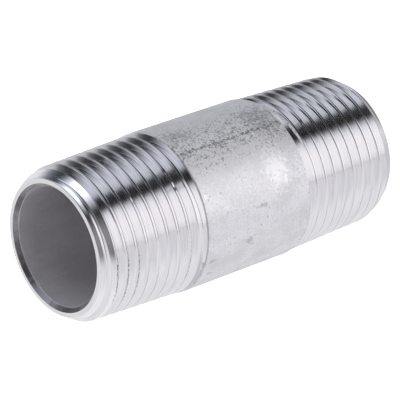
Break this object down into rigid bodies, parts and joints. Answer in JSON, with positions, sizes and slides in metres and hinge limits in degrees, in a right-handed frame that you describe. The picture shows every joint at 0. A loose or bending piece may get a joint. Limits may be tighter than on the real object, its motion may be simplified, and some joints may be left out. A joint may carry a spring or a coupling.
{
  "type": "pipe nipple",
  "caption": "Short stainless steel barrel nipple: a plain pipe with a tapered male pipe thread, an outer chamfer and a flat rim at each end and an open bore.",
  "frame": {"origin": "centre of the lower end face, on the pipe's axis", "axes": "+Z along the pipe's axis to the upper end; +X and +Y square to it"},
  "size_m": [0.0172, 0.0172, 0.04],
  "materials": {
    "stainless_steel": "turned and bright on the threads, matt and pickled on the barrel and in the bore"
  },
  "bodies": {
    "root": {"pipe_nipple": "stainless_steel"}
  },
  "joints": []
}
